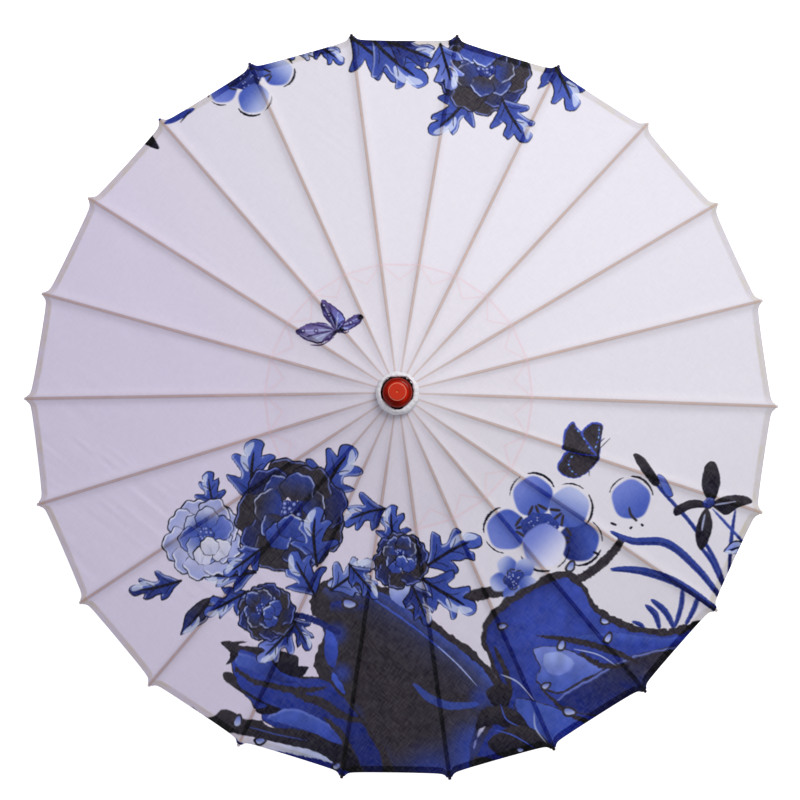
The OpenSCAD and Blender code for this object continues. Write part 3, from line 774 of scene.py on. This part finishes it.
def paint_left(art):
    """The peonies and leaves on the left."""
    leaves(art, ((-154, -114, -150, -46, 0.85, 0.02, 41), (-82, -106, -46, -54, 0.9, 0, 42, -1),
        (-196, -118, -202, -80, 0.9, 0, 43), (-232, -196, -290, -208, 0.55, 0.03, 44, -1,
        (BLUE, DEEP)), (-196, -212, -232, -254, 0.55, 0, 45, 1, (CHARCOAL, DEEP), PLAIN),
        (-158, -206, -206, -232, 0.6, 0, 46), (-150, -186, -208, -190, 0.6, 0.03, 47),
        (-110, -244, -148, -282, 0.7, 0, 48, 1, (MID, PERI)), (-112, -232, -92, -268, 0.7, 0, 49,
        1, (DEEP, BLUE))))
    art.stroke("-112,-230 -92,-234 -62,-248", 7, DEEP, taper=(0.5, 0.9), rough=0.5)
    leaves(art, ((-12, -118, -58, -134, 0.8, -0.06, 50, -1), (-70, -204, -24, -172, 0.75, 0, 51, 1,
        (MID, PALE)), (-50, -176, -20, -212, 0.6, 0, 52)))
    peony(art, -208, -152, 44, 110, dark=False, seed=12, heart=(0.1, 0.1))
    peony(art, -112, -128, 60, 95, seed=13, heart=(0.0, 0.12))
    peony(art, -138, -228, 32, 160, seed=14, heart=(-0.2, 0.1))
    leaves(art, ((-84, -178, -84, -116, 0.75, 0.05, 53), (-86, -210, -112, -164, 0.85, 0, 54),
        (-142, -160, -184, -190, 0.6, 0, 55, -1)))


def paint_middle(art):
    """The bud and its leaves above the rocks."""
    art.shape(round_line(14, -206, 22, 0, 0.7, [(3, 0.05, 0)]), PALE, PERI, ink=None, rough=0.6)
    leaves(art, ((-2, -158, -6, -114, 0.8, 0.03, 61), (30, -178, 88, -146, 0.75, 0.03, 62),
        (26, -190, 84, -224, 0.7, -0.02, 63, -1), (16, -196, 34, -240, 0.7, 0, 64, 1,
        (DEEP, BLUE))))
    peony(art, 4, -172, 30, 100, seed=15, heart=(0.0, 0.25))


PAINTERS = (paint_top, paint_small_butterflies, paint_plum_branch, paint_orchid, paint_rocks,
    paint_middle, paint_left)


def shade_behind_cloth(tone, pale_shade_tint):
    """Painted shade on the cloth where something lies behind it: pale cloth takes the shade tint
    that is given, and printed cloth goes much darker because the light no longer comes through."""
    light = smooth(tone.mean(1), 0.45, 0.80)[:, None]
    return tone * pale_shade_tint * light + tone ** 1.75 * (1 - light)


def to_linear(tone):
    """sRGB levels as linear ones."""
    tone = np.clip(tone, 0, 1)
    return np.where(tone <= 0.04045, tone / 12.92, ((tone + 0.055) / 1.055) ** 2.4)


def finish_colours(art, x, y, t, rho, from_rim):
    """Adds what shows through the cloth: painted shade for the ribs and the hem's second layer,
    and the thread's colour.
    """
    tone = art.rgb.astype(float)
    # Painted shade: the hem's doubled cloth is darker where less light comes through, with a
    # patchy yellowish tint that is stronger to the left and near the hem's inner edge.
    hem = smooth(from_rim, HEM + 0.4, HEM - 0.4)
    patchy = 0.30 + 0.55 * noise(x / 17, y / 17, 23) + 0.30 * noise(x / 5, y / 5,
        24) + 0.30 * smooth(-x, -200, 200)
    fold = 0.45 + 0.55 * np.exp(-((from_rim - HEM + 1.8) / 1.6) ** 2)
    yellowish_share = (np.clip(patchy, 0, 1) * fold)[:, None]
    tone += (shade_behind_cloth(tone, np.array([1.0, 0.995, 0.985]) - [0.02, 0.035, 0.145] * yellowish_share)
        - tone) * hem[:, None] * 0.92
    # A thin painted shade line along the hem's inner edge.
    tone *= 1 - 0.03 * np.exp(-((from_rim - HEM) / 0.7) ** 2)[:, None]
    # Painted shade along each rib: the cloth over the rib's crest takes the rib's warm tone and
    # the shade behind it, wider on dark print and fainter near the hub.
    crest = RIB_SHOW + (RIB_HALF_W - 0.2 - RIB_SHOW) * smooth(-tone.mean(1), -0.80, -0.45)
    wide = crest * (0.62 + 0.38 * smooth(rho, 20, 110)) + 0.12 * noise(rho / 14, t, 27)
    rib = smooth(t, wide + 0.5, wide - 0.5) * (0.86 + 0.14 * noise(rho / 9, t, 29))
    rib *= 0.7 + 0.3 * smooth(rho, 30, 130)
    tone += (shade_behind_cloth(tone, np.array([0.935, 0.825, 0.75])) - tone) * rib[:, None]
    # A thin painted shadow line beside each side of the rib's crest.
    tone *= 1 - 0.07 * (np.exp(-(((t - wide) / 0.5) ** 2)) * smooth(rho, 25, 60))[:, None]
    chord = rho * cos(HALF)
    pivot = PIVOT_R * cos(HALF)
    inward = LATTICE_DEEP * np.clip(t / (pivot * tan(HALF)), 0, 1)
    lines = np.exp(-((chord - pivot) / 0.9) ** 2) + np.exp(-((chord - pivot + inward) / 0.9) ** 2)
    tone += (THREAD_TINT - tone) * (0.55 * np.clip(lines, 0, 1) * smooth(tone.min(1), 0.5, 0.8))[:,
        None]
    return tone


def build_cloth():
    """Panels and strips for every rib: their points and their colours."""
    parts = []
    for i in range(RIBS):
        for kind in ("panel", "strip"):
            sides = (-1, 1) if kind == "panel" else (0,)
            for side in sides:
                px, py, rho, u = panel_grid(side) if side else strip_grid()
                x, y = turned(px, py, az(i))
                t = np.abs(py)
                rim = rim_rho(strip_half(EDGE_R) * (1 - u) + u * EDGE_R * sin(HALF), u)
                z = cone_z(rho) + relief(x, y, t, u, rho)
                from_rim = rim - rho
                z = z + 0.15 * smooth(from_rim, HEM + 1.0, HEM - 1.0)
                parts.append(dict(rib=i, kind=kind, side=side, shape=rho.shape,
                                  cols=[a.ravel() for a in (x, y, z, t, rho, from_rim)]))
    allx, ally, _, t, rho, from_rim = (np.concatenate([p["cols"][k] for p in parts])
        for k in range(6))
    art = Art(allx, ally)
    for painter in PAINTERS:
        painter(art)
    tone = to_linear(finish_colours(art, allx, ally, t, rho, from_rim))
    start = 0
    for p in parts:
        n = len(p["cols"][0])
        p["rgb"] = tone[start:start + n]
        start += n
    return parts


def fold_under(part):
    """The hem: the cloth turned over at the rim and laid back under itself."""
    rows, cols = part["shape"]
    x, y, z = (part["cols"][k].reshape(rows, cols) for k in range(3))
    tone = part["rgb"].reshape(rows, cols, 3)
    back = max(2, round(HEM / CELL))
    pts, colours = [], []
    for k in range(back + 1):
        row = rows - 1 - k
        drop = 0.30 if k == 0 else 0.62 - 0.30 * k / back
        out = 1 + (0.25 / EDGE_R if k == 0 else 0)
        pts.append(np.stack([x[row] * out, y[row] * out, z[row] - drop], 1))
        colours.append(tone[row])
    return np.concatenate(pts), np.concatenate(colours), back + 1


def cloth_objects(parts, material):
    """A mesh for each panel and strip, with its hem, tied to its rib."""
    made = []
    for p in parts:
        i, side = p["rib"], p["side"]
        main = np.stack(p["cols"][:3], 1)
        hem, hem_rgb, hem_rows = fold_under(p)
        rows, cols = p["shape"]
        quads = grid_faces(rows + hem_rows, cols)
        name = f"canopy_{p['kind']}_{i + 1:02d}" + {-1: "_right", 0: "", 1: "_left"}[side]
        obj = make_mesh(name, np.concatenate([main, hem]), quads if side >= 0 else quads[:, ::-1],
                        np.concatenate([p["rgb"], hem_rgb]))
        obj.data.materials.append(material)
        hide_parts("canopy")
        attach(obj, f"rib_{i + 1:02d}")
        if side:
            squash_to_rib(obj)
        made.append(obj)
    return made


def squash_to_rib(obj):
    """Gives the piece its own copy of its mesh."""
    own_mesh(obj)


# ---- materials
def new_material(name, **values):
    """A material with a Principled shader whose plain values are set on its own sockets."""
    m = bpy.data.materials.new(name)
    m.use_nodes = True
    bsdf = m.node_tree.nodes["Principled BSDF"]
    for key, v in values.items():
        bsdf.inputs[key.replace("_", " ")].default_value = v
    return m, m.node_tree, bsdf


def add(tree, kind, **values):
    """A node with its settings, in small letters, and its sockets' plain values, in capitals."""
    n = tree.nodes.new(kind)
    for key, v in values.items():
        if key[0].islower():
            setattr(n, key, v)
        else:
            n.inputs[key.replace("_", " ")].default_value = v
    return n


def put(tree, socket, value):
    """Sets a socket to a plain number or tuple, or links it to another node's output."""
    if isinstance(value, (int, float, tuple)):
        socket.default_value = value
    else:
        tree.links.new(value, socket)


def sum_of(tree, operation, *terms, kind="ShaderNodeMath", result=0):
    """The result of one operation on numbers, tuples or other nodes' outputs."""
    n = add(tree, kind, operation=operation)
    for socket, term in zip(n.inputs, terms):
        put(tree, socket, term)
    return n.outputs[result]


def coords(tree, scale=(1, 1, 1), turn=0.0, shift=0.0):
    """The object's own coordinates, shifted, turned about Z and then stretched."""
    tex = tree.nodes.new("ShaderNodeTexCoord")
    mapping = add(tree, "ShaderNodeMapping", Rotation=(0, 0, turn), Location=(shift, shift, shift))
    tree.links.new(tex.outputs["Object"], mapping.inputs["Vector"])
    return sum_of(tree, "MULTIPLY", mapping.outputs["Vector"], scale, kind="ShaderNodeVectorMath")


def pattern(tree, kind, at, **values):
    """A texture node's value at the given coordinates."""
    n = add(tree, kind, **values)
    tree.links.new(at, n.inputs["Vector"])
    return n.outputs["Fac"]


def ranged(tree, value, **limits):
    """The value carried from one range to another, 0 to 1 where nothing else is given."""
    n = add(tree, "ShaderNodeMapRange", **limits)
    tree.links.new(value, n.inputs["Value"])
    return n.outputs["Result"]


def blend(tree, share, a, b):
    """A colour between a and b, each a tuple of three or another node's output."""
    n = add(tree, "ShaderNodeMix", data_type="RGBA")
    for socket, tone in ((n.inputs["A"], a), (n.inputs["B"], b)):
        put(tree, socket, (*tone, 1) if isinstance(tone, tuple) else tone)
    tree.links.new(share, n.inputs["Factor"])
    return n.outputs["Result"]


def surface(tree, bsdf, colour, height, strength, distance):
    """Links the shader's colour, and a bump of the height."""
    tree.links.new(colour, bsdf.inputs["Base Color"])
    bump = add(tree, "ShaderNodeBump", Strength=strength, Distance=distance)
    tree.links.new(height, bump.inputs["Height"])
    tree.links.new(bump.outputs["Normal"], bsdf.inputs["Normal"])


def let_through(tree, bsdf, colour, share):
    """Adds the light that comes through thin cloth."""
    through = tree.nodes.new("ShaderNodeBsdfTranslucent")
    tree.links.new(colour, through.inputs["Color"])
    shader_mix(tree, share, bsdf, through)


def shader_mix(tree, share, a, b):
    """The surface is a mix of two shaders."""
    mix = tree.nodes.new("ShaderNodeMixShader")
    for socket, value in zip(mix.inputs, (share, a.outputs[0], b.outputs[0])):
        put(tree, socket, value)
    tree.links.new(mix.outputs[0], tree.nodes["Material Output"].inputs["Surface"])


def cloth_material():
    """Fine silk: the print, a crossed weave in bump and in colour, its colour flecks partly
    painted sheen, a soft sheen, light through it.
    """
    m, tree, bsdf = new_material("canopy_silk", Roughness=0.55, Sheen_Weight=0.06,
                                 Sheen_Roughness=0.4, Specular_IOR_Level=0.18)
    printed = add(tree, "ShaderNodeAttribute", attribute_name="print").outputs["Color"]
    threads = [pattern(tree, "ShaderNodeTexNoise",
                       coords(tree, (1, 0.10, 0.10), radians(turn), shift),
                       Scale=1050.0, Detail=1.5, Roughness=0.6)
               for turn, shift in ((38, 0.0), (-47, 3.0))]
    weave = sum_of(tree, "ADD", *threads)
    # Partly the weave's pattern and partly painted sheen: light and dark flecks added to the
    # print.
    shade = ranged(tree, weave, From_Min=0.7, From_Max=1.3, To_Min=-0.020, To_Max=0.024)
    print_and_sheen = sum_of(tree, "ADD", printed, shade, kind="ShaderNodeVectorMath")
    surface(tree, bsdf, print_and_sheen, weave, 0.08, 0.0003)
    let_through(tree, bsdf, print_and_sheen, 0.14)
    return m


def lacquer(name, colour, dark, highlight_and_shade_at=None):
    """Lacquer over turned wood: a clear coat, slight ripple, darker in noisy patches where it has
    pooled.
    The last argument, radii in metres from the axis, places a painted highlight ring, the painted
    shade of the shoulder outside it and a small painted highlight at the axis."""
    m, tree, bsdf = new_material(name, Roughness=0.24, Coat_Weight=0.10, Coat_Roughness=0.08,
                                 Specular_IOR_Level=0.06)
    spots = pattern(tree, "ShaderNodeTexNoise", coords(tree, (1, 1, 0.4)), Scale=140.0, Detail=4.0)
    shade = blend(tree, ranged(tree, spots, From_Min=0.45, From_Max=0.75), colour, dark)
    if highlight_and_shade_at:
        far = sum_of(tree, "LENGTH", coords(tree, (1, 1, 0)), kind="ShaderNodeVectorMath",
                     result="Value")
        # Painted shade outside the shoulder's start, a painted highlight ring at the upper disc's
        # edge, the plain colour again inside it, and a painted highlight at the middle.
        for start, end, tone in ((highlight_and_shade_at[1], highlight_and_shade_at[1] + 0.002, (0.17, 0.007, 0.0025)),
                                 (highlight_and_shade_at[0] + 0.00025, highlight_and_shade_at[0], (0.70, 0.22, 0.13)),
                                 (highlight_and_shade_at[0] - 0.0005, highlight_and_shade_at[0] - 0.0009, colour),
                                 (0.0014, 0.0004, (0.75, 0.20, 0.06))):
            shade = blend(tree, ranged(tree, far, From_Min=start, From_Max=end, To_Max=0.85),
                          shade, tone)
    ripple = pattern(tree, "ShaderNodeTexNoise", coords(tree), Scale=420.0, Detail=2.0)
    surface(tree, bsdf, shade, ripple, 0.12, 0.0004)
    return m


def wood(name, light, dark, radial, scale, roughness=0.55):
    """Straight grain, down the shaft or, if radial, out from the axis."""
    m, tree, bsdf = new_material(name, Roughness=roughness, Coat_Weight=0.12, Coat_Roughness=0.3)
    if radial:
        here = tree.nodes.new("ShaderNodeTexCoord").outputs["Object"]
        split = tree.nodes.new("ShaderNodeSeparateXYZ")
        tree.links.new(here, split.inputs[0])
        turn = sum_of(tree, "ARCTAN2", split.outputs["Y"], split.outputs["X"])
        far = sum_of(tree, "LENGTH", here, kind="ShaderNodeVectorMath", result="Value")
        join = tree.nodes.new("ShaderNodeCombineXYZ")
        tree.links.new(sum_of(tree, "MULTIPLY", far, 0.03), join.inputs["X"])
        tree.links.new(sum_of(tree, "MULTIPLY", turn, 0.25), join.inputs["Y"])
        at = join.outputs[0]
    else:
        at = coords(tree, (1, 1, 0.03))
    grain = pattern(tree, "ShaderNodeTexNoise", at, Scale=scale, Detail=5.0, Roughness=0.6,
                    Distortion=0.3)
    tone = blend(tree, ranged(tree, grain, From_Min=0.35, From_Max=0.62), dark, light)
    surface(tree, bsdf, tone, grain, 0.25, 0.0003)
    return m


def woven(name, dark, light, scale, distortion, turn, strength, distance, through=0, **values):
    """Cotton thread or plain cloth: slanting lines in colour and bump."""
    m, tree, bsdf = new_material(name, **values)
    lines = pattern(tree, "ShaderNodeTexWave", coords(tree, turn=turn), wave_type="BANDS",
                    Scale=scale, Distortion=distortion, Detail=2.0)
    tone = blend(tree, lines, dark, light)
    surface(tree, bsdf, tone, lines, strength, distance)
    if through:
        let_through(tree, bsdf, tone, through)
    return m


def thread(name, *colour):
    """Twisted cotton of one colour."""
    return woven(name, tuple(c * 0.7 for c in colour), colour, 420.0, 2.0, 0.7, 0.5, 0.0002,
                 Roughness=0.75, Sheen_Weight=0.3)


def brass():
    """Drawn wire, dull in patches."""
    m, tree, bsdf = new_material("brass_wire", Metallic=1.0)
    dull = pattern(tree, "ShaderNodeTexNoise", coords(tree), Scale=600.0, Detail=3.0)
    tree.links.new(ranged(tree, dull, To_Min=0.25, To_Max=0.5), bsdf.inputs["Roughness"])
    tone = blend(tree, dull, (0.45, 0.29, 0.10), (0.72, 0.52, 0.22))
    tree.links.new(tone, bsdf.inputs["Base Color"])
    return m


SILK = cloth_material()
# The cap gets a painted highlight ring, painted shade on its shoulder and a painted highlight at
# its middle.
CAP_RED = lacquer("cap_lacquer", (0.58, 0.012, 0.0008), (0.40, 0.010, 0.001), (0.0092, 0.0102))
PINK = thread("pink_thread", 0.80, 0.25, 0.38)
RIM_CORD = thread("rim_cord", 0.78, 0.74, 0.64)
COLLAR_CLOTH = woven("collar_cloth", (0.84, 0.83, 0.91), (0.97, 0.96, 1.0), 500.0, 3.0, 0.6, 0.4,
                     0.0003, through=0.1, Roughness=0.8, Sheen_Weight=0.2)
# The frame's own materials have these names, so Blender adds a number after a dot.
SLOTS = {m.name.split(".")[0]: m for m in (
    SILK, PINK, RIM_CORD, COLLAR_CLOTH, brass(),
    lacquer("red_lacquer", (0.54, 0.020, 0.0035), (0.34, 0.012, 0.003)),
    lacquer("black_lacquer", (0.012, 0.011, 0.013), (0.005, 0.005, 0.006)),
    wood("shaft_wood", (0.56, 0.34, 0.16), (0.36, 0.19, 0.08), False, 260.0),
    wood("bamboo", (0.70, 0.52, 0.30), (0.50, 0.34, 0.17), True, 130.0))}
for row in frame["record"]["subparts"]:
    node = NODES[row["node"]]
    node.data.materials.clear()
    node.data.materials.append(CAP_RED if row["node"] == "finial_cap"
        else SLOTS[row["material_slot"]])

# ---- the cloth
PARTS = build_cloth()
CLOTHS = cloth_objects(PARTS, SILK)


# ---- tips, collar and threads
def along_rib(i, s, y, n):
    """Row-frame point s along rib i from its hinge, y sideways, n out of its cloth side."""
    r = HINGE_R + s * cos(SLOPE) + n * sin(SLOPE)
    z = HINGE_Z - s * sin(SLOPE) + n * cos(SLOPE)
    x, y = turned(r, y, az(i))
    return x, y, z


def tip_colour(i):
    """Colour of the cloth where rib i's tip is wrapped in it."""
    panel = next(p for p in PARTS if p["rib"] == i and p["side"])
    rows, cols = panel["shape"]
    return panel["rgb"].reshape(rows, cols, 3)[-4:-1, 3].mean(0)


def tip_wrap(i):
    """The cloth's end drawn round the rib's tip and tied."""
    rings = [(-9, 0.2), (-8.2, 0.98), (-6, 1.0), (-4.6, 0.99), (-4.0, 1.10), (-3.4, 1.12),
        (-2.8, 1.02), (-1.5, 0.97), (-0.4, 0.90), (0.4, 0.72), (0.8, 0.45), (0.95, 0.05)]
    around = 20
    pts = []
    for s, k in rings:
        for j in range(around):
            a = 2 * pi * j / around
            c, d = cos(a), sin(a)
            y = 1.95 * k * copysign(abs(c) ** 0.75, c)
            n = 0.85 + 1.9 * k * copysign(abs(d) ** 0.75, d)
            pts.append(along_rib(i, TIP_S + s, y, n))
    tone = np.tile(tip_colour(i), (len(pts), 1))
    obj = make_mesh(f"tip_wrap_{i + 1:02d}", pts, grid_faces(len(rings), around, wrap=True), tone)
    obj.data.materials.append(SILK)
    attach(obj, f"rib_{i + 1:02d}")


for rib in range(RIBS):
    tip_wrap(rib)


def collar():
    """A gathered band of white cloth round the hub, its inner edge torn and uneven."""
    around, across = 160, 22
    pts = []
    rng = np.random.default_rng(4)
    phase = rng.uniform(0, 2 * pi, 8)
    for k in range(across):
        v = k / (across - 1)
        for j in range(around):
            a = 2 * pi * j / around
            ragged = (0.9 * sin(3 * a + phase[0]) + 0.8 * sin(5 * a + phase[1])
                      + 0.22 * sin(13 * a + phase[2]) + 0.12 * sin(29 * a + phase[3]))
            crease = 0.25 * sin(22 * a + phase[4]) + 0.16 * sin(37 * a + 5 * v + phase[5])
            inner = max(CAP_R + 0.35, CAP_R + 1.8 + 0.8 * ragged + 0.7 * cos(a - 1.9))
            outer = COLLAR_R - 0.1 + 0.3 * sin(9 * a + phase[6])
            foot, top = cone_z(outer) + 0.25, HUB_TOP + 1.3
            if v < 0.3:
                w = pi / 2 * v / 0.3
                r = outer - 2.2 * (1 - cos(w))
                z = foot + (top - 0.5 - foot) * sin(w)
            else:
                w = (v - 0.3) / 0.7
                r = outer - 2.2 + (inner - outer + 2.2) * w
                z = top - 0.5 + 0.9 * sin(pi * w) ** 0.8
            r += 0.6 * crease * sin(pi * min(v, 0.9))
            z += 0.8 * crease * sin(pi * v)
            pts.append((r * cos(a), r * sin(a), z))
    obj = make_mesh("collar_cloth", pts, grid_faces(across, around, wrap=True))
    obj.data.materials.append(COLLAR_CLOTH)
    thick = obj.modifiers.new("thickness", "SOLIDIFY")
    thick.thickness = 0.45 * MM
    thick.offset = 1
    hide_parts("hub_collar")
    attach(obj, "root")


collar()


def tube(path, radius, sides=8):
    """Points and faces of a tube along a line of points in millimetres."""
    path = np.array(path, float)
    along = np.gradient(path, axis=0)
    along /= np.linalg.norm(along, axis=1)[:, None]
    up = np.array([0, 0, 1.0])
    side = np.cross(along, up)
    side /= np.maximum(np.linalg.norm(side, axis=1)[:, None], 1e-9)
    over = np.cross(side, along)
    a = 2 * np.pi * np.arange(sides) / sides
    ring = side[:, None] * np.cos(a)[None, :, None] + over[:, None] * np.sin(a)[None, :, None]
    pts = (path[:, None] + radius * ring).reshape(-1, 3)
    return pts, grid_faces(len(path), sides, wrap=True)


def thread_piece(name, i, paths, radius, material, node):
    """Tubes along paths in rib i's plan frame, as one piece that folds in with the rib."""
    pts, faces, first = [], [], 0
    for path in paths:
        world = [(*turned(x, y, az(i)), z) for x, y, z in path]
        p, f = tube(world, radius)
        pts.append(p)
        faces.append(f + first)
        first += len(p)
    obj = make_mesh(name, np.concatenate(pts), np.concatenate(faces))
    obj.data.materials.append(material)
    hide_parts(node)
    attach(obj, f"rib_{i + 1:02d}")
    squash_to_rib(obj)


def under_cloth(i, x, y, gap):
    """Height a little below the cloth at a point of rib i's plan frame."""
    t = abs(y)
    rho = x + t * tan(HALF)
    u = min(1.0, t / (rho * cos(HALF) * sin(HALF)))
    wx, wy = turned(x, y, az(i))
    lift = relief(*(np.array([v]) for v in (wx, wy, t, u, rho)))[0]
    return cone_z(rho) + lift - gap


def chord_points(i, rho, gap, steps=28):
    """Across rib i, between the middles of its two panels."""
    reach = rho * cos(HALF) * sin(HALF)
    out = []
    for k in range(steps + 1):
        y = reach * (2 * k / steps - 1)
        x = rho - abs(y) * tan(HALF)
        out.append((x, y, under_cloth(i, x, y, gap)))
    return out


def lattice_paths(i, side, gap=1.2, steps=12):
    """The thread on one side of rib i: straight to the panel's middle, and in with a V."""
    straight, vee = [], []
    for k in range(steps + 1):
        w = k / steps
        for path, deep in ((straight, 0), (vee, LATTICE_DEEP)):
            rho = PIVOT_R - deep * w
            y = THREAD_START + (rho * cos(HALF) * sin(HALF) - THREAD_START) * w
            x = rho - y * tan(HALF)
            path.append((x, side * y, under_cloth(i, x, side * y, gap)))
    return straight, vee


for rib in range(RIBS):
    for side, word in ((-1, "right"), (1, "left")):
        thread_piece(f"lattice_thread_{rib + 1:02d}_{word}", rib, lattice_paths(rib, side), 0.42,
            PINK, "lattice_thread")
    thread_piece(f"rim_thread_{rib + 1:02d}", rib, [chord_points(rib, EDGE_R - HEM, 1.35)], 0.4,
        RIM_CORD, "rim_thread")


# ---- floor and light
FLOOR_SIZE, FLOOR_GAP = 30, 0.001     # in metres; the gap is left under the grip
LAMP_AIM = Vector((0, 0, 0.38))


def stage_and_light():
    """A pale floor that gives its own light and can't be seen from below, and two soft lamps."""
    floor_z = CAD_BOX[0][2] - FLOOR_GAP
    bpy.ops.mesh.primitive_plane_add(size=FLOOR_SIZE, location=(0, 0, floor_z))
    floor = bpy.context.object
    floor.name = "floor"
    m, tree, bsdf = new_material("floor", Roughness=0.9, Emission_Strength=0.84)
    bsdf.inputs["Base Color"].default_value = (0.85, 0.85, 0.85, 1)
    bsdf.inputs["Emission Color"].default_value = (1, 1, 1, 1)
    faces = tree.nodes.new("ShaderNodeNewGeometry")
    clear = tree.nodes.new("ShaderNodeBsdfTransparent")
    shader_mix(tree, faces.outputs["Backfacing"], bsdf, clear)
    floor.data.materials.append(m)
    world = bpy.context.scene.world or bpy.data.worlds.new("world")
    bpy.context.scene.world = world
    world.use_nodes = True
    tree = world.node_tree
    back = tree.nodes["Background"]
    back.inputs["Color"].default_value = (0.96, 0.96, 1.0, 1)
    seen = tree.nodes.new("ShaderNodeLightPath")
    level = ranged(tree, seen.outputs["Is Camera Ray"], To_Min=0.16, To_Max=1.0)
    tree.links.new(level, back.inputs["Strength"])
    for name, place, size, power, colour in (("key", (0.85, 1.20, 2.30), 1.1, 45.5,
            (1.0, 0.99, 0.97)), ("fill", (-1.4, -1.2, 1.9), 1.8, 10, (0.88, 0.88, 1.0))):
        data = bpy.data.lights.new(name, "AREA")
        data.size, data.energy, data.color = size, power, colour
        lamp = bpy.data.objects.new(name, data)
        lamp.location = place
        lamp.rotation_euler = (LAMP_AIM - Vector(place)).to_track_quat("-Z", "Y").to_euler()
        bpy.context.scene.collection.objects.link(lamp)


stage_and_light()
bpy.context.scene.view_settings.view_transform = "Standard"
